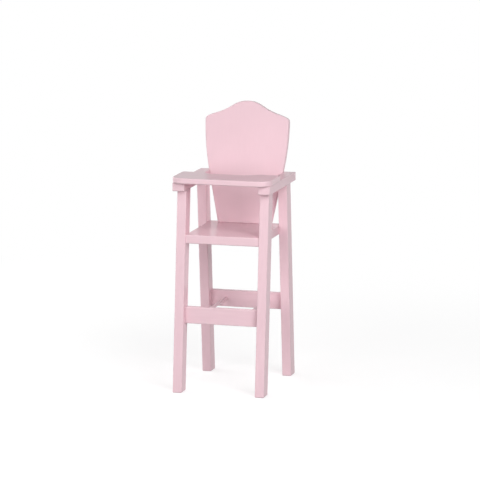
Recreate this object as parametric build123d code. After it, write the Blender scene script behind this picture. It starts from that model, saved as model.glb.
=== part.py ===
from build123d import *
import os
from math import acos, cos, degrees, radians, sin, tan

# A painted wooden high chair for dolls. Millimetres, +Z up, the front of the chair towards -Y.
# The origin lies on the floor, midway between the four feet.

# Legs: four flat sided bars, the front pair leaning forward to the floor, the rear pair backward
leg_height = 430.0              # floor to the underside of the arms
leg_width = 20.0                # across the chair
leg_depth = 32.0                # square to the leg's length
leg_lean = 5.4                  # degrees from upright
base_depth = 258.0              # over the front and rear feet, on the floor
gap_between_legs = 161.0        # across the chair, the same at every height
leg_edge_radius = 1.6
foot_edge_chamfer = 1.2

# Arms: bars along the leg tops, their inner faces flush with those of the legs
arm_width = 26.0
arm_thickness = 18.0
arm_front_overhang = 17.0       # in front of the front leg's top
arm_rear_overhang = 20.5        # behind the rear leg's top
arm_edge_radius = 1.4
arm_end_chamfer = 1.2

# Tray: a board over the front of the arms
tray_thickness = 12.0
tray_depth = 95.0               # front edge to the rear of the two ears beside the scoop
tray_front_overhang = 11.5      # in front of the arms
tray_side_overhang = 2.5        # outside the arms' outer faces
tray_corner_radius = 27.0
tray_ear_radius = 7.0
tray_scoop_depth = 18.0
tray_scoop_flat = 56.0          # straight middle stretch of the scooped rear edge
tray_scoop_radius = 35.0
tray_lip_radius = 18.0
tray_edge_chamfer = 1.5

# Seat: a board between the legs
seat_height = 336.0             # floor to its top
seat_thickness = 18.5
seat_setback = 1.5              # behind the front legs' front faces, and the same at the rear
seat_edge_chamfer = 1.2

# Rails: one board between the front legs, one between the rear legs
rail_underside = 146.5          # floor to the rails
rail_height = 36.0
rail_thickness = 12.0
rail_front_setback = 11.5       # behind the front legs' front faces
rail_rear_setback = 2.0         # in front of the rear legs' rear faces
rail_edge_chamfer = 1.0

# Side bars: thin round bars from the front rail to the rear rail
side_bar_diameter = 7.0
side_bar_spacing = 93.0         # between their axes
side_bar_socket = 7.0           # how deep each end sits in its rail

# Backrest: one shaped panel that stands on the seat, housed in the arms and wider above them
backrest_thickness = 12.0
backrest_recline = 5.7          # degrees from upright
backrest_inset = 18.2           # seat's rear edge to the panel's front face at its foot
backrest_flare = 11.4           # degrees between each straight side and the middle line
backrest_straight_rise = 9.5    # above the middle of the arms, where the sides start to curve
backrest_side_radius = 550.0
backrest_shoulder_corner = 9.5
backrest_shoulder_radius = 120.0
backrest_hollow_radius = 147.0
backrest_crown_radius = 58.0
backrest_crown_angle = 33.5     # degrees of slope where the crown turns into the hollow
backrest_hollow_angle = 16.8    # degrees of slope where the hollow turns into the shoulder
backrest_edge_chamfer = 1.5
backrest_housing_clearance = 0.2
backrest_foot_chamfer = 1.2

# Glued pins, each in a drilled hole a little wider and deeper than itself
pin_clearance = 0.1
pin_end_room = 0.5
arm_pin_diameter = 8.0
arm_pin_in_leg = 18.0
arm_pin_in_arm = 12.0
board_pin_diameter = 6.0
board_pin_in_leg = 12.0
board_pin_in_board = 18.0
backrest_pin_in_arm = 14.0
backrest_pin_length = 30.0

# Countersunk wood screws, heads flush with the face they enter
screw_clearance = 0.15
screw_head_diameter = 7.6
seat_screw_diameter = 4.0
seat_screw_length = 38.0
seat_screw_spacing = 70.0
tray_screw_diameter = 3.5
tray_screw_length = 24.0

# Places that follow from those sizes
lean_shift = leg_height * tan(radians(leg_lean))
leg_section = leg_depth / cos(radians(leg_lean))
leg_inner = gap_between_legs / 2
arm_outer = leg_inner + arm_width
arm_middle = leg_inner + arm_width / 2
top_edge = base_depth / 2 - lean_shift
arm_front = -top_edge - arm_front_overhang
arm_rear = top_edge + arm_rear_overhang
arm_top = leg_height + arm_thickness
tray_side = arm_outer + tray_side_overhang
tray_front = arm_front - tray_front_overhang
tray_rear = tray_front + tray_depth
rail_middle = rail_underside + rail_height / 2
scoop_turn = acos(1 - tray_scoop_depth / (tray_scoop_radius + tray_lip_radius))


def outer_face(height):
    """Distance from the middle of the chair to the legs' outer faces, front or rear, at a height."""
    return base_depth / 2 - height * tan(radians(leg_lean))


seat_edge = outer_face(seat_height) - seat_setback
rail_front_face = -outer_face(rail_middle) + rail_front_setback
rail_rear_face = outer_face(rail_middle) - rail_rear_setback
rail_middles = {-1: rail_front_face + rail_thickness / 2, 1: rail_rear_face - rail_thickness / 2}
backrest_front = seat_edge - backrest_inset
backrest_plane = Plane(
    origin=(0, backrest_front, seat_height),
    x_dir=(1, 0, 0),
    z_dir=(0, -cos(radians(backrest_recline)), sin(radians(backrest_recline))),
)


def both_sides(solid):
    """The solid and its mirror image on the other side of the chair."""
    return [solid, mirror(solid, about=Plane.YZ)]


def whole_face(half_outline):
    """The flat face inside a half outline and its mirror image."""
    half = Curve() + half_outline
    return make_face(half + mirror(half, about=Plane.YZ))


class Pin:
    """A straight pin given by its middle, its axis, its diameter and its length."""

    def __init__(self, middle, axis, diameter, length):
        self.place = Plane(origin=middle, z_dir=axis).location
        self.radius = diameter / 2
        self.length = length

    def solid(self):
        return self.place * Cylinder(self.radius, self.length)

    def room(self):
        """The drilled room for the pin: a little wider, and longer at both ends."""
        return self.place * Cylinder(self.radius + pin_clearance, self.length + 2 * pin_end_room)


def arm_pins():
    """One upright pin at each leg top, for the right side of the chair."""
    height = leg_height + (arm_pin_in_arm - arm_pin_in_leg) / 2
    length = arm_pin_in_leg + arm_pin_in_arm
    across = leg_inner + leg_width / 2
    along = top_edge - leg_section / 2
    return [Pin((across, end * along, height), (0, 0, 1), arm_pin_diameter, length) for end in (-1, 1)]


def seat_pins():
    """One level pin at each leg, for the right side of the chair."""
    height = seat_height - seat_thickness / 2
    along = outer_face(height) - leg_section / 2
    return [board_pin(end * along, height) for end in (-1, 1)]


def rail_pin(end):
    """The level pin at the right end of the front rail (end -1) or the rear rail (end 1)."""
    return board_pin(rail_middles[end], rail_middle)


def board_pin(along, height):
    """A level pin from a right leg into the end of a board."""
    across = leg_inner + (board_pin_in_leg - board_pin_in_board) / 2
    length = board_pin_in_leg + board_pin_in_board
    return Pin((across, along, height), (1, 0, 0), board_pin_diameter, length)


def backrest_pin():
    """The level pin from the right arm into the edge of the panel."""
    height = leg_height + arm_thickness / 2
    outer_end = leg_inner + backrest_pin_in_arm
    middle_of_panel = backrest_thickness / 2 / cos(radians(backrest_recline))
    along = backrest_front + (height - seat_height) * tan(radians(backrest_recline)) + middle_of_panel
    middle = (outer_end - backrest_pin_length / 2, along, height)
    return Pin(middle, (1, 0, 0), board_pin_diameter, backrest_pin_length)


class Screw:
    """A countersunk screw that points up, given by the middle of its head's flat."""

    def __init__(self, head, diameter, length):
        self.head = Pos(*head)
        self.diameter = diameter
        self.length = length

    def shape(self, clearance, end_room):
        """The screw's form, wider all round by a clearance and longer by some room."""
        outer = screw_head_diameter / 2 + clearance
        inner = self.diameter / 2 + clearance
        end = self.length + end_room
        outline = Polyline((0, 0), (outer, 0), (inner, outer - inner), (inner, end), (0, end), close=True)
        return self.head * revolve(make_face(Plane.XZ * outline), Axis.Z)

    def solid(self):
        return self.shape(0, 0)

    def room(self):
        return self.shape(screw_clearance, pin_end_room)


def seat_screws():
    """Two screws up through the seat into the foot of the panel."""
    along = backrest_front + backrest_thickness / 2
    height = seat_height - seat_thickness
    across = seat_screw_spacing / 2
    heads = [(side * across, along, height) for side in (-1, 1)]
    return [Screw(head, seat_screw_diameter, seat_screw_length) for head in heads]


def tray_screw():
    """The screw up through the right arm into the tray, behind the front leg's top."""
    along = (tray_rear - top_edge + leg_section) / 2
    return Screw((arm_middle, along, leg_height), tray_screw_diameter, tray_screw_length)


def leg(end):
    """The right leg at the front (end -1) or the rear (end 1)."""
    foot = end * base_depth / 2
    top = end * top_edge
    section = end * leg_section
    corners = [(foot, 0), (foot - section, 0), (top - section, leg_height), (top, leg_height)]
    side = Plane.YZ * make_face(Polyline(*corners, close=True))
    blank = Pos(leg_inner, 0, 0) * extrude(side, leg_width)
    blank = chamfer(blank.faces().sort_by(Axis.Z)[0].edges(), foot_edge_chamfer)
    long_edges = [edge for edge in blank.edges() if edge.length > leg_height - leg_depth]
    blank = fillet(long_edges, leg_edge_radius)
    for pin in arm_pins() + seat_pins() + [rail_pin(end)]:
        blank -= pin.room()
    return blank


def arm():
    """The right arm."""
    length = arm_rear - arm_front
    blank = Box(arm_width, length, arm_thickness, align=(Align.MIN, Align.MIN, Align.MIN))
    ends = blank.faces().filter_by(Axis.Y)
    blank = chamfer([edge for end in ends for edge in end.edges()], arm_end_chamfer)
    long_edges = [edge for edge in blank.edges() if edge.length > length / 2]
    blank = Pos(leg_inner, arm_front, leg_height) * fillet(long_edges, arm_edge_radius)
    for fastener in arm_pins() + [backrest_pin(), tray_screw()]:
        blank -= fastener.room()
    return blank - backrest_housing()


def tray_half_outline():
    """The tray's outline from the middle of its rear edge round the right side to the front."""
    turn = degrees(scoop_turn)
    scoop = tray_rear - tray_scoop_depth
    flat = Line((0, scoop), (tray_scoop_flat / 2, scoop))
    hollow = JernArc(flat @ 1, flat % 1, tray_scoop_radius, turn)
    lip = JernArc(hollow @ 1, hollow % 1, tray_lip_radius, -turn)
    ear = Line(lip @ 1, (tray_side - tray_ear_radius, tray_rear))
    rear_corner = JernArc(ear @ 1, ear % 1, tray_ear_radius, -90)
    side = Line(rear_corner @ 1, (tray_side, tray_front + tray_corner_radius))
    front_corner = JernArc(side @ 1, side % 1, tray_corner_radius, -90)
    front = Line(front_corner @ 1, (0, tray_front))
    return [flat, hollow, lip, ear, rear_corner, side, front_corner, front]


def tray():
    board = extrude(whole_face(tray_half_outline()), tray_thickness, dir=(0, 0, 1))
    board = Pos(0, 0, arm_top) * board
    board = chamfer(board.edges().filter_by(Plane.XY), tray_edge_chamfer)
    for room in both_sides(tray_screw().room()):
        board -= room
    return board


def board_between_legs(middle, depth, thickness, edge_chamfer):
    """A board whose ends meet the legs, with its long edges eased."""
    blank = Box(gap_between_legs, depth, thickness)
    return Pos(*middle) * chamfer(blank.edges().filter_by(Axis.X), edge_chamfer)


def seat():
    middle = (0, 0, seat_height - seat_thickness / 2)
    board = board_between_legs(middle, 2 * seat_edge, seat_thickness, seat_edge_chamfer)
    for pin in seat_pins():
        for room in both_sides(pin.room()):
            board -= room
    for screw in seat_screws():
        board -= screw.room()
    return board


def rail(end):
    """The board between the front legs (end -1) or the rear legs (end 1)."""
    middle = (0, rail_middles[end], rail_middle)
    board = board_between_legs(middle, rail_thickness, rail_height, rail_edge_chamfer)
    for pin in [rail_pin(end), side_bar()]:
        for room in both_sides(pin.room()):
            board -= room
    return board


def side_bar():
    """The right side bar, a long pin whose ends sit in the two rails."""
    front_end = rail_middles[-1] + rail_thickness / 2 - side_bar_socket
    rear_end = rail_middles[1] - rail_thickness / 2 + side_bar_socket
    middle = (side_bar_spacing / 2, (front_end + rear_end) / 2, rail_middle)
    return Pin(middle, (0, 1, 0), side_bar_diameter, rear_end - front_end)


def backrest_half_outline():
    """The panel's outline from its foot up the right side to the middle of the crown."""
    flare = radians(backrest_flare)
    up_to_arm = (leg_height + arm_thickness / 2 - seat_height) / cos(radians(backrest_recline))
    foot_end = leg_inner - up_to_arm * tan(flare)
    bend = (leg_inner + backrest_straight_rise * tan(flare), up_to_arm + backrest_straight_rise)
    foot = Line((0, 0), (foot_end, 0))
    straight = Line(foot @ 1, bend)
    side = JernArc(straight @ 1, straight % 1, backrest_side_radius, backrest_flare)
    corner_turn = backrest_corner_turn((side @ 1).X)
    corner = JernArc(side @ 1, side % 1, backrest_shoulder_corner, corner_turn)
    shoulder_turn = 90 - corner_turn - backrest_hollow_angle
    shoulder = JernArc(corner @ 1, corner % 1, backrest_shoulder_radius, shoulder_turn)
    hollow_turn = backrest_hollow_angle - backrest_crown_angle
    hollow = JernArc(shoulder @ 1, shoulder % 1, backrest_hollow_radius, hollow_turn)
    crown = JernArc(hollow @ 1, hollow % 1, backrest_crown_radius, backrest_crown_angle)
    return [foot, straight, side, corner, shoulder, hollow, crown]


def backrest_corner_turn(half_width):
    """Degrees that each top corner turns, so that the curves after it end in the middle."""
    crown = sin(radians(backrest_crown_angle))
    hollow = sin(radians(backrest_hollow_angle))
    curves = backrest_crown_radius * crown + backrest_hollow_radius * (crown - hollow)
    shoulder_middle = curves - backrest_shoulder_radius * hollow
    across = half_width - backrest_shoulder_corner - shoulder_middle
    return degrees(acos(across / (backrest_shoulder_radius - backrest_shoulder_corner)))


def backrest_housing():
    """The room for the panel's edges, cut into the arms' inner faces."""
    face = offset(whole_face(backrest_half_outline()), backrest_housing_clearance)
    room = extrude(face, backrest_thickness + 2 * backrest_housing_clearance, dir=(0, 0, -1))
    return backrest_plane.location * Pos(0, 0, backrest_housing_clearance) * room


def backrest():
    panel = extrude(whole_face(backrest_half_outline()), backrest_thickness, dir=(0, 0, -1))
    rims = panel.edges().filter_by(Plane.XY)
    above_foot = [edge for edge in rims if edge.center().Y > backrest_edge_chamfer]
    panel = backrest_plane.location * chamfer(above_foot, backrest_edge_chamfer)
    panel = split(panel, bisect_by=Plane(origin=(0, 0, seat_height)), keep=Keep.TOP)
    foot_front = panel.edges().filter_by(Axis.X).group_by(Axis.Z)[0].sort_by(Axis.Y)[0]
    panel = chamfer(foot_front, backrest_foot_chamfer)
    for room in both_sides(backrest_pin().room()) + [screw.room() for screw in seat_screws()]:
        panel -= room
    return panel


def group(solids):
    """Loose pieces of one kind, kept as separate solids under one name."""
    return Compound(children=solids)


def write_pair(name, solid):
    """Writes a piece of the right side, and its mirror image for the left side."""
    right, left = both_sides(solid)
    export_step(right, os.path.join("parts", name + "_right.step"))
    export_step(left, os.path.join("parts", name + "_left.step"))


def write(name, solid):
    export_step(solid, os.path.join("parts", name + ".step"))


def pin_set(pins):
    """The pins or screws of both sides."""
    return group([piece for pin in pins for piece in both_sides(pin.solid())])


os.makedirs("parts", exist_ok=True)
write_pair("leg_front", leg(-1))
write_pair("leg_rear", leg(1))
write_pair("arm", arm())
write_pair("side_bar", side_bar().solid())
write("tray", tray())
write("seat", seat())
write("rail_front", rail(-1))
write("rail_rear", rail(1))
write("backrest", backrest())
write("arm_dowels", pin_set(arm_pins()))
write("seat_dowels", pin_set(seat_pins()))
write("rail_front_dowels", pin_set([rail_pin(-1)]))
write("rail_rear_dowels", pin_set([rail_pin(1)]))
write("backrest_dowels", pin_set([backrest_pin()]))
write("backrest_screws", group([screw.solid() for screw in seat_screws()]))
write("tray_screws", pin_set([tray_screw()]))
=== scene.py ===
from math import cos, pi, radians, sin

import bmesh
import bpy
from mathutils import Matrix, Vector


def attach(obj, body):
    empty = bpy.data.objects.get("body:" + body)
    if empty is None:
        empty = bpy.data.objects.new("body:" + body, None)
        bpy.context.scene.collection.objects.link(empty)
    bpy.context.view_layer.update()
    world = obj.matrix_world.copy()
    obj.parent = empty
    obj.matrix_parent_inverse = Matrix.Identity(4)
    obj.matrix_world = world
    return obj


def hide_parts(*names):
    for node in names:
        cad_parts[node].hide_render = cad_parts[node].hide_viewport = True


# A painted wooden high chair for dolls, in metres, the front of the chair towards -Y
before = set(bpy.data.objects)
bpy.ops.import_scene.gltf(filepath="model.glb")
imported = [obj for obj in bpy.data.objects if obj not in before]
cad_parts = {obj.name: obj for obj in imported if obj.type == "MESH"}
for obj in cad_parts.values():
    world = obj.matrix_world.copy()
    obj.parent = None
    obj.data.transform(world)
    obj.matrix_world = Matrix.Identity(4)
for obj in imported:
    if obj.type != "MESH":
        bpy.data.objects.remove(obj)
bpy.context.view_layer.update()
bpy.context.scene.view_settings.view_transform = "Standard"

# Camera: seen a little from the right and from above
PICTURE_PIXELS = 480
FOCAL_PIXELS = 3279.7
SENSOR_WIDTH = 36.0             # millimetres
CAMERA_AZIMUTH = 15.72          # degrees round from straight in front
CAMERA_ELEVATION = 10.02        # degrees above level
CAMERA_DISTANCE = 7.0686
CAMERA_AIM = (-0.0030, 0.0547, 0.3030)
VIEW_DEPTH = 100.0

# Patterns: the range that most noise lies in, and what each axis is multiplied by, which
# is little along the grain
NOISE_RANGE = (0.3, 0.7)
BOARD_ACROSS = (0.06, 1.0, 1.0)
BOARD_ALONG = (1.0, 0.06, 1.0)
BOARD_UPRIGHT = (1.0, 1.0, 0.06)
ROD_ACROSS = (0.15, 1.0, 1.0)
ROD_UPRIGHT = (1.0, 1.0, 0.15)

# Paint: where it lies thick between the fibres of the wood it is deeper, and at an edge it is
# paler, partly where it draws back and the primer lightens it, partly a painted highlight along
# the edge
PINK = (0.84, 0.603, 0.658)
PINK_DEEP = (0.775, 0.53, 0.59)
PINK_WORN_AND_LIT_EDGE = (0.92, 0.74, 0.775)
PAINT_ROUGHNESS = (0.215, 0.235)
PAINT_SPECULAR = 0.1
EDGE_SOFTNESS = 0.0018          # how far in from an edge the paint rounds it
EDGE_SAMPLES = 6
EDGE_AGREEMENT = 0.93           # of the eased and the true normal, right at an edge
EDGE_WEAR_AND_HIGHLIGHT = (0.25, 0.8)
CLOUD_FINENESS = 9.0            # each fineness is the noise's scale, per metre
CLOUD_SHADES = (0.985, 1.03)
FIBRE_FINENESS = 230.0
EDGE_PATCH_FINENESS = 55.0
SHEEN_FINENESS = 900.0
RIPPLE_FINENESS = 420.0
RIPPLE_RELIEF = 0.000006
GRAIN_RELIEF = 0.00005          # where the grain shows fully
GRAIN_ON_SOLID_WOOD = 0.34      # how far the grain shows through the paint
GRAIN_ON_PANELS = 0.12

# Beech of the dowels and zinc plate of the screws
BEECH_PALE = (0.62, 0.40, 0.22)
BEECH_DARK = (0.46, 0.27, 0.13)
BEECH_FINENESS = 600.0
BEECH_ROUGHNESS = (0.55, 0.7)
BEECH_RELIEF = 0.00004
ZINC = (0.62, 0.63, 0.64)
ZINC_SHADES = (0.9, 1.1)
ZINC_FINENESS = 1800.0
ZINC_ROUGHNESS = (0.24, 0.42)
ZINC_RELIEF = 0.00001

# Dowels: fluted rods with eased ends
DOWEL_FLUTES = 16
FLUTE_DEPTH = 0.0002
DOWEL_EASE = 0.0008
STEPS_IN_FLUTE = 4

# Screws: countersunk, cross recessed, with a plain neck, a thread and a point
SCREW_SIDES = 32
HEAD_RIM = 0.00015
SHANK_SHARE_OF_HEAD = {"backrest_screws": 4.0 / 7.6, "tray_screws": 3.5 / 7.6}
NECK_SHARE = 0.8                # these are shares of the thread's width
CORE_SHARE = 0.66
THREAD_ROOT_SHARE = 0.6         # just inside the core, so that the thread joins it
TIP_SHARE = 0.04
PITCH_SHARE = 0.45
POINT_SHARE = 1.5               # length of the point
RIDGE_SHARE = 0.5               # of the pitch
THREAD_START_SHARE = 0.38       # of the screw's length
RUN_IN_SHARE = 0.5              # of its full reach, where the thread starts inside the core
RECESS_SPAN_SHARE = 0.55        # these are shares of the head's width
RECESS_FLOOR_SHARE = 0.25
RECESS_WIDTH_SHARE = 0.14
RECESS_DEPTH_SHARE = 0.24

# Meshes
SAME_PLACE = 1e-6               # corners nearer than this are one
SLIVER = 2e-6                   # anything thinner is left over from a cut and goes
SHARP_ANGLE = 30.0              # degrees, past which an edge is drawn sharp

# Light: softboxes round the chair, each facing its middle, given by azimuth and elevation
# in degrees, width and height in metres, and watts
SOFTBOX_DISTANCE = 2.2
SOFTBOXES = {
    "right_high": (40.0, 32.0, 1.3, 1.3, 28.5),
    "right_low": (46.0, 8.0, 1.3, 0.9, 9.5),
    "front_left": (-20.0, 14.0, 1.2, 1.2, 17.0),
    "left": (-60.0, 22.0, 1.3, 1.3, 5.0),
    "left_side": (-95.0, 12.0, 1.4, 1.1, 22.0),
    "rear_left": (-130.0, 7.0, 1.6, 1.0, 22.0),
    "rear_right": (155.0, 7.0, 1.6, 1.0, 16.0),
}
ROOM_LEVEL = 0.02

# Floor: lit and shadowed near the chair, plain white further out
FLOOR_SIZE = 40.0
FLOOR_GREY = 0.45
FLOOR_GLOW = 0.66
FLOOR_NEAR = 0.4
FLOOR_FAR = 1.6


def towards(azimuth, elevation):
    """Unit vector from the chair towards a place round it, azimuth 0 straight in front."""
    around, above = radians(azimuth), radians(elevation)
    return Vector((sin(around) * cos(above), -cos(around) * cos(above), sin(above)))


def look_from(obj, place, aim):
    """Sets an object at a place with its -Z axis towards the aim and its Y axis up."""
    turn = (Vector(aim) - Vector(place)).to_track_quat("-Z", "Y")
    obj.matrix_world = Matrix.Translation(place) @ turn.to_matrix().to_4x4()


def make_camera():
    """The view of the photograph, as fitted to the chair's edges."""
    data = bpy.data.cameras.new("camera")
    data.sensor_fit = "HORIZONTAL"
    data.sensor_width = SENSOR_WIDTH
    data.lens = FOCAL_PIXELS / PICTURE_PIXELS * SENSOR_WIDTH
    data.clip_end = VIEW_DEPTH
    camera = bpy.data.objects.new("camera", data)
    bpy.context.scene.collection.objects.link(camera)
    place = Vector(CAMERA_AIM) + CAMERA_DISTANCE * towards(CAMERA_AZIMUTH, CAMERA_ELEVATION)
    look_from(camera, place, CAMERA_AIM)
    bpy.context.scene.camera = camera


def softbox(name, azimuth, elevation, width, height, watts):
    """A rectangular lamp facing the middle of the chair."""
    data = bpy.data.lights.new(name, "AREA")
    data.shape = "RECTANGLE"
    data.size = width
    data.size_y = height
    data.energy = watts
    lamp = bpy.data.objects.new(name, data)
    lamp.visible_camera = False
    lamp.visible_glossy = False
    bpy.context.scene.collection.objects.link(lamp)
    place = Vector(CAMERA_AIM) + SOFTBOX_DISTANCE * towards(azimuth, elevation)
    look_from(lamp, place, CAMERA_AIM)


def seen_mask(nodes, links):
    """A value that is 1 for what a view, a reflection or a view through glass sees."""
    path = nodes.new("ShaderNodeLightPath")
    mirrored = nodes.new("ShaderNodeMath")
    mirrored.operation = "MAXIMUM"
    links.new(path.outputs["Is Camera Ray"], mirrored.inputs[0])
    links.new(path.outputs["Is Glossy Ray"], mirrored.inputs[1])
    through = nodes.new("ShaderNodeMath")
    through.operation = "MAXIMUM"
    links.new(mirrored.outputs[0], through.inputs[0])
    links.new(path.outputs["Is Transmission Ray"], through.inputs[1])
    return through.outputs[0]


def make_room():
    """Even light from all sides, and a white background where it is seen."""
    world = bpy.data.worlds.new("studio")
    bpy.context.scene.world = world
    world.use_nodes = True
    nodes, links = world.node_tree.nodes, world.node_tree.links
    nodes.clear()
    light = nodes.new("ShaderNodeBackground")
    light.inputs["Strength"].default_value = ROOM_LEVEL
    white = nodes.new("ShaderNodeBackground")
    choose = nodes.new("ShaderNodeMixShader")
    output = nodes.new("ShaderNodeOutputWorld")
    for background in (light, white):
        background.inputs["Color"].default_value = (1, 1, 1, 1)
    links.new(seen_mask(nodes, links), choose.inputs["Fac"])
    links.new(light.outputs[0], choose.inputs[1])
    links.new(white.outputs[0], choose.inputs[2])
    links.new(choose.outputs[0], output.inputs["Surface"])


def glow(nodes, links, seen, strength):
    """White light of a given strength that only a view or a reflection sees."""
    level = nodes.new("ShaderNodeMath")
    level.operation = "MULTIPLY"
    level.inputs[1].default_value = strength
    links.new(seen, level.inputs[0])
    shine = nodes.new("ShaderNodeEmission")
    links.new(level.outputs[0], shine.inputs["Strength"])
    return shine.outputs[0]


def make_floor():
    """A plain pale floor that keeps the chair's soft shadow."""
    mesh = bpy.data.meshes.new("floor")
    plan = bmesh.new()
    bmesh.ops.create_grid(plan, x_segments=1, y_segments=1, size=FLOOR_SIZE / 2)
    plan.to_mesh(mesh)
    plan.free()
    floor = bpy.data.objects.new("floor", mesh)
    bpy.context.scene.collection.objects.link(floor)
    material = bpy.data.materials.new("floor_white")
    material.use_nodes = True
    nodes, links = material.node_tree.nodes, material.node_tree.links
    nodes.clear()
    matt = nodes.new("ShaderNodeBsdfDiffuse")
    matt.inputs["Color"].default_value = (FLOOR_GREY, FLOOR_GREY, FLOOR_GREY, 1)
    seen = seen_mask(nodes, links)
    near = nodes.new("ShaderNodeAddShader")
    links.new(matt.outputs[0], near.inputs[0])
    links.new(glow(nodes, links, seen, FLOOR_GLOW), near.inputs[1])
    distance = nodes.new("ShaderNodeVectorMath")
    distance.operation = "LENGTH"
    links.new(nodes.new("ShaderNodeTexCoord").outputs["Object"], distance.inputs[0])
    fade = nodes.new("ShaderNodeMapRange")
    fade.interpolation_type = "SMOOTHSTEP"
    fade.inputs["From Min"].default_value = FLOOR_NEAR
    fade.inputs["From Max"].default_value = FLOOR_FAR
    links.new(distance.outputs["Value"], fade.inputs["Value"])
    both = nodes.new("ShaderNodeMixShader")
    links.new(fade.outputs["Result"], both.inputs["Fac"])
    links.new(near.outputs[0], both.inputs[1])
    links.new(glow(nodes, links, seen, 1.0), both.inputs[2])
    output = nodes.new("ShaderNodeOutputMaterial")
    links.new(both.outputs[0], output.inputs["Surface"])
    mesh.materials.append(material)


class Finish:
    """A material being made: its nodes, its shader and the place on the object, in metres."""

    def __init__(self, name):
        self.material = bpy.data.materials.new(name)
        self.material.use_nodes = True
        self.nodes = self.material.node_tree.nodes
        self.links = self.material.node_tree.links
        self.shader = self.nodes["Principled BSDF"]
        self.place = self.nodes.new("ShaderNodeTexCoord").outputs["Object"]

    def stretched(self, scale):
        """The place with each axis multiplied, so that a pattern is long where that is little."""
        mapping = self.nodes.new("ShaderNodeMapping")
        mapping.inputs["Scale"].default_value = scale
        self.links.new(self.place, mapping.inputs["Vector"])
        return mapping.outputs["Vector"]

    def noise(self, vector, fineness, detail, roughness=0.5):
        """A value that varies from place to place."""
        pattern = self.nodes.new("ShaderNodeTexNoise")
        pattern.inputs["Scale"].default_value = fineness
        pattern.inputs["Detail"].default_value = detail
        pattern.inputs["Roughness"].default_value = roughness
        self.links.new(vector, pattern.inputs["Vector"])
        return pattern.outputs["Fac"]

    def between(self, value, low, high, source=NOISE_RANGE):
        """Spreads a value from its source's range to another."""
        spread = self.nodes.new("ShaderNodeMapRange")
        spread.inputs["From Min"].default_value = source[0]
        spread.inputs["From Max"].default_value = source[1]
        spread.inputs["To Min"].default_value = low
        spread.inputs["To Max"].default_value = high
        self.links.new(value, spread.inputs["Value"])
        return spread.outputs["Result"]

    def mixed(self, value, first, second):
        """A colour between two, which are colours or other sources, by a value."""
        mix = self.nodes.new("ShaderNodeMix")
        mix.data_type = "RGBA"
        colours = [socket for socket in mix.inputs if socket.type == "RGBA"]
        for socket, source in zip(colours, (first, second)):
            if isinstance(source, tuple):
                socket.default_value = (*source, 1)
            else:
                self.links.new(source, socket)
        self.links.new(value, mix.inputs["Factor"])
        return next(socket for socket in mix.outputs if socket.type == "RGBA")

    def mottled(self, value, colour, shades):
        """A colour that a value turns from one shade of it to another."""
        darker, paler = (tuple(channel * shade for channel in colour) for shade in shades)
        return self.mixed(value, darker, paler)

    def colour(self, source):
        self.links.new(source, self.shader.inputs["Base Color"])

    def roughness(self, source):
        self.links.new(source, self.shader.inputs["Roughness"])

    def eased_edges(self):
        """Normals that turn smoothly over each edge, and a value that rises to 1 at an edge."""
        ease = self.nodes.new("ShaderNodeBevel")
        ease.samples = EDGE_SAMPLES
        ease.inputs["Radius"].default_value = EDGE_SOFTNESS
        agreement = self.nodes.new("ShaderNodeVectorMath")
        agreement.operation = "DOT_PRODUCT"
        self.links.new(ease.outputs["Normal"], agreement.inputs[0])
        surface = self.nodes.new("ShaderNodeNewGeometry")
        self.links.new(surface.outputs["Normal"], agreement.inputs[1])
        edge = self.between(agreement.outputs["Value"], 1.0, 0.0, (EDGE_AGREEMENT, 1.0))
        return ease.outputs["Normal"], edge

    def scaled(self, first, second):
        """The product of two values."""
        product = self.nodes.new("ShaderNodeMath")
        product.operation = "MULTIPLY"
        for socket, source in zip(product.inputs, (first, second)):
            self.links.new(source, socket)
        return product.outputs[0]

    def relief(self, height, depth, under=None):
        """Raises the surface by a pattern, in metres, over any relief under it."""
        bump = self.nodes.new("ShaderNodeBump")
        bump.inputs["Distance"].default_value = depth
        self.links.new(height, bump.inputs["Height"])
        if under:
            self.links.new(under, bump.inputs["Normal"])
        self.links.new(bump.outputs["Normal"], self.shader.inputs["Normal"])
        return bump.outputs["Normal"]


def paint(name, grain, show):
    """Satin pink paint over wood, whose grain shows through as far as show says."""
    finish = Finish(name)
    soft, edge = finish.eased_edges()
    cloud = finish.noise(finish.place, CLOUD_FINENESS, detail=3.0)
    body = finish.mottled(finish.between(cloud, 0.0, 1.0), PINK, CLOUD_SHADES)
    fibres = finish.noise(finish.stretched(grain), FIBRE_FINENESS, detail=3.0, roughness=0.6)
    body = finish.mixed(finish.between(fibres, 0.0, show), body, PINK_DEEP)
    # Edges paler in patches: partly paint worn back to the primer, partly a painted highlight
    edge_patches = finish.noise(finish.place, EDGE_PATCH_FINENESS, detail=3.0)
    wear_and_highlight = finish.scaled(edge, finish.between(edge_patches, *EDGE_WEAR_AND_HIGHLIGHT))
    finish.colour(finish.mixed(wear_and_highlight, body, PINK_WORN_AND_LIT_EDGE))
    sheen = finish.noise(finish.place, SHEEN_FINENESS, detail=2.0)
    finish.roughness(finish.between(sheen, *PAINT_ROUGHNESS))
    under = finish.relief(fibres, GRAIN_RELIEF * show, soft)
    ripple = finish.noise(finish.place, RIPPLE_FINENESS, detail=1.0)
    finish.relief(ripple, RIPPLE_RELIEF, under)
    finish.shader.inputs["Specular IOR Level"].default_value = PAINT_SPECULAR
    return finish.material


def beech(name, grain):
    """Bare beech, as dowels have it: fine pale grain along the rod with short dark flecks."""
    finish = Finish(name)
    fibres = finish.noise(finish.stretched(grain), BEECH_FINENESS, detail=4.0)
    finish.colour(finish.mixed(finish.between(fibres, 0.0, 1.0), BEECH_PALE, BEECH_DARK))
    finish.roughness(finish.between(fibres, *BEECH_ROUGHNESS))
    finish.relief(fibres, BEECH_RELIEF)
    return finish.material


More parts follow.
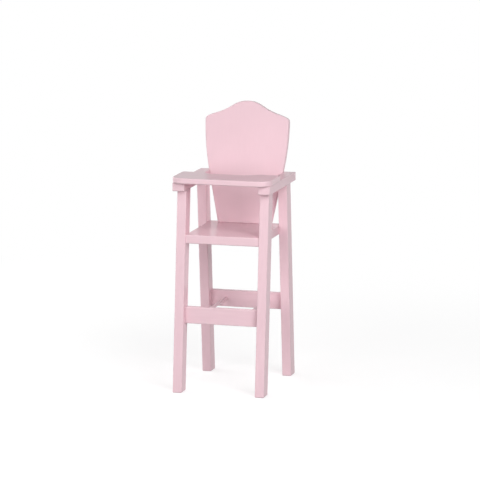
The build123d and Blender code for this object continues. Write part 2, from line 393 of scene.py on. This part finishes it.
def zinc_plate():
    """Bright zinc plating with a fine tumbled grain."""
    finish = Finish("zinc_plate")
    grain = finish.noise(finish.place, ZINC_FINENESS, detail=3.0)
    finish.colour(finish.mottled(finish.between(grain, 0.0, 1.0), ZINC, ZINC_SHADES))
    finish.roughness(finish.between(grain, *ZINC_ROUGHNESS))
    finish.relief(grain, ZINC_RELIEF)
    finish.shader.inputs["Metallic"].default_value = 1.0
    return finish.material


def as_mesh(name, form):
    """Turns a bmesh into a mesh."""
    mesh = bpy.data.meshes.new(name)
    form.to_mesh(mesh)
    form.free()
    return mesh


def as_object(name, form):
    """Turns a bmesh into an object in the scene."""
    made = bpy.data.objects.new(name, as_mesh(name, form))
    bpy.context.scene.collection.objects.link(made)
    return made


def solids_in(node):
    """The lowest and highest corner of each separate solid in a CAD node, in order of place."""
    form = bmesh.new()
    form.from_mesh(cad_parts[node].data)
    bmesh.ops.remove_doubles(form, verts=form.verts, dist=SAME_PLACE)
    unseen = set(form.verts)
    boxes = []
    while unseen:
        found = [unseen.pop()]
        for vert in found:
            for edge in vert.link_edges:
                other = edge.other_vert(vert)
                if other in unseen:
                    unseen.remove(other)
                    found.append(other)
        sides = list(zip(*(vert.co for vert in found)))
        boxes.append((tuple(map(min, sides)), tuple(map(max, sides))))
    form.free()
    return sorted(boxes)


def lengthened(form, end_face, rise, spread=1.0):
    """Draws the end face of a rod upward and scales it about the rod's axis, which is Z."""
    whole = [end_face, *end_face.edges, *end_face.verts]
    grown = bmesh.ops.extrude_face_region(form, geom=whole)["geom"]
    verts = [part for part in grown if isinstance(part, bmesh.types.BMVert)]
    bmesh.ops.translate(form, vec=(0, 0, rise), verts=verts)
    bmesh.ops.scale(form, vec=(spread, spread, 1), verts=verts)
    return next(part for part in grown if isinstance(part, bmesh.types.BMFace))


def fluted_dowel(radius, length):
    """A fluted rod with eased ends, from height 0 upward, as a mesh."""
    form = bmesh.new()
    sides = DOWEL_FLUTES * STEPS_IN_FLUTE
    disc = bmesh.ops.create_circle(form, cap_ends=True, radius=radius, segments=sides)
    rim = disc["verts"]
    for step in range(STEPS_IN_FLUTE):
        depth = FLUTE_DEPTH * (0.5 - 0.5 * cos(2 * pi * step / STEPS_IN_FLUTE))
        narrower = 1 - depth / radius
        bmesh.ops.scale(form, vec=(narrower, narrower, 1), verts=rim[step::STEPS_IN_FLUTE])
    eased = 1 - DOWEL_EASE / radius
    bmesh.ops.scale(form, vec=(eased, eased, 1), verts=rim)
    [end_face] = form.faces
    end_face = lengthened(form, end_face, DOWEL_EASE, 1 / eased)
    end_face = lengthened(form, end_face, length - 2 * DOWEL_EASE)
    lengthened(form, end_face, DOWEL_EASE, eased)
    bmesh.ops.recalc_face_normals(form, faces=form.faces)
    return as_mesh("dowel", form)


def profile(form, points):
    """A chain of edges through points given by their distance from the Z axis and their height."""
    verts = [form.verts.new((reach, 0, height)) for reach, height in points]
    return verts + [form.edges.new(pair) for pair in zip(verts, verts[1:])]


def turned_blank(head, shank, length):
    """The head, neck, core and point of a screw, from height 0 upward."""
    form = bmesh.new()
    neck, core, tip = NECK_SHARE * shank, CORE_SHARE * shank, TIP_SHARE * shank
    start = THREAD_START_SHARE * length
    half = profile(form, (
        (0, 0),
        (head - HEAD_RIM, 0),
        (head, HEAD_RIM),
        (neck, head - neck),
        (neck, start),
        (core, start + neck - core),
        (core, length - POINT_SHARE * 2 * shank),
        (tip, length),
        (0, length),
    ))
    bmesh.ops.spin(
        form,
        geom=half,
        cent=(0, 0, 0),
        axis=(0, 0, 1),
        angle=2 * pi,
        steps=SCREW_SIDES,
        use_merge=True,
    )
    bmesh.ops.remove_doubles(form, verts=form.verts, dist=SAME_PLACE)
    bmesh.ops.recalc_face_normals(form, faces=form.faces)
    return form


def wound_thread(shank, length):
    """The ridge round the core of a screw, which rises out of it and thins with the point."""
    form = bmesh.new()
    root, pitch = THREAD_ROOT_SHARE * shank, PITCH_SHARE * 2 * shank
    ridge, point = RIDGE_SHARE * pitch, POINT_SHARE * 2 * shank
    start = THREAD_START_SHARE * length
    turns = int((length - start - ridge) / pitch)
    ends = ((root, start), (shank, start + ridge / 2), (root, start + ridge))
    section = form.faces.new([form.verts.new((reach, 0, height)) for reach, height in ends])
    bmesh.ops.spin(
        form,
        geom=[section, *section.verts, *section.edges],
        cent=(0, 0, 0),
        axis=(0, 0, 1),
        dvec=(0, 0, pitch / SCREW_SIDES),
        angle=2 * pi * turns,
        steps=SCREW_SIDES * turns,
    )
    bmesh.ops.recalc_face_normals(form, faces=form.faces)
    for vert in form.verts:
        rise = RUN_IN_SHARE + (1 - RUN_IN_SHARE) * (vert.co.z - start) / pitch
        fall = (length - vert.co.z) / point
        kept = min(rise, 1.0, fall)
        bmesh.ops.scale(form, vec=(kept, kept, 1), verts=[vert])
    # Turned so that its corners lie between those of the core, and the two join cleanly
    half_step = Matrix.Rotation(pi / SCREW_SIDES, 3, "Z")
    bmesh.ops.rotate(form, verts=form.verts, matrix=half_step)
    return form


def recess_slot(head, turn):
    """One of the two slots of a cross recess, which narrows towards its floor."""
    form = bmesh.new()
    shares = (RECESS_SPAN_SHARE, RECESS_FLOOR_SHARE, RECESS_WIDTH_SHARE, RECESS_DEPTH_SHARE)
    span, floor_span, width, depth = (share * 2 * head for share in shares)
    # Twice as deep as the slot, so that it has the slot's span where it meets the head's face
    mouth = 2 * span - floor_span
    bmesh.ops.create_cube(form, size=1)
    bmesh.ops.scale(form, vec=(mouth, width, 2 * depth), verts=form.verts)
    bottom = [vert for vert in form.verts if vert.co.z > 0]
    bmesh.ops.scale(form, vec=(floor_span / mouth, 1, 1), verts=bottom)
    bmesh.ops.rotate(form, verts=form.verts, matrix=Matrix.Rotation(radians(turn), 3, "Z"))
    return form


def threaded_screw(head, shank, length):
    """A countersunk screw with a thread and a cross recess, as a mesh."""
    blank = as_object("screw_blank", turned_blank(head, shank, length))
    tools = [("UNION", as_object("screw_thread", wound_thread(shank, length)))]
    for turn in (0, 90):
        tools.append(("DIFFERENCE", as_object("recess_slot", recess_slot(head, turn))))
    for operation, tool in tools:
        cut = blank.modifiers.new(tool.name, "BOOLEAN")
        cut.operation = operation
        cut.solver = "EXACT"
        cut.object = tool
    depsgraph = bpy.context.evaluated_depsgraph_get()
    mesh = bpy.data.meshes.new_from_object(blank.evaluated_get(depsgraph))
    for extra in [blank] + [tool for operation, tool in tools]:
        bpy.data.objects.remove(extra)
    return mesh


def place_all(name, node, material, make):
    """One piece that stands for a CAD node, with a form made at each of the node's solids.

    Each solid lies across the chair or stands upright.
    """
    whole = bmesh.new()
    for low, high in solids_in(node):
        size = [top - bottom for bottom, top in zip(low, high)]
        axis = size.index(max(size))
        start = [(bottom + top) / 2 for bottom, top in zip(low, high)]
        start[axis] = low[axis]
        turn = Matrix.Rotation(radians(90), 4, "Y") if axis == 0 else Matrix.Identity(4)
        mesh = make(min(size) / 2, max(size))
        mesh.transform(Matrix.Translation(start) @ turn)
        whole.from_mesh(mesh)
        bpy.data.meshes.remove(mesh)
    bmesh.ops.dissolve_degenerate(whole, edges=whole.edges, dist=SLIVER)
    piece = as_object(name, whole)
    for face in piece.data.polygons:
        face.use_smooth = True
    piece.data.set_sharp_from_angle(angle=radians(SHARP_ANGLE))
    piece.data.materials.append(material)
    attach(piece, "root")
    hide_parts(node)


def dress(material, *names):
    """Gives the CAD nodes a material in their own slots."""
    for name in names:
        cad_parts[name].material_slots[0].material = material


make_camera()
for name, values in SOFTBOXES.items():
    softbox(name, *values)
make_room()
make_floor()

dress(paint("paint_panel_across", BOARD_ACROSS, GRAIN_ON_PANELS), "tray", "seat")
dress(paint("paint_panel_upright", BOARD_UPRIGHT, GRAIN_ON_PANELS), "backrest")
dress(paint("paint_wood_across", BOARD_ACROSS, GRAIN_ON_SOLID_WOOD), "rail_front", "rail_rear")
dress(
    paint("paint_wood_along", BOARD_ALONG, GRAIN_ON_SOLID_WOOD),
    "arm_left",
    "arm_right",
    "side_bar_left",
    "side_bar_right",
)
dress(
    paint("paint_wood_upright", BOARD_UPRIGHT, GRAIN_ON_SOLID_WOOD),
    "leg_front_left",
    "leg_front_right",
    "leg_rear_left",
    "leg_rear_right",
)

upright = beech("beech_upright", ROD_UPRIGHT)
across = beech("beech_across", ROD_ACROSS)
place_all("arm_fluted_dowels", "arm_dowels", upright, fluted_dowel)
for node in ("seat_dowels", "rail_front_dowels", "rail_rear_dowels", "backrest_dowels"):
    name = node.replace("_dowels", "_fluted_dowels")
    place_all(name, node, across, fluted_dowel)
zinc = zinc_plate()
for node, share in SHANK_SHARE_OF_HEAD.items():
    place_all(
        node.replace("_screws", "_threaded_screws"),
        node,
        zinc,
        lambda head, length: threaded_screw(head, share * head, length),
    )
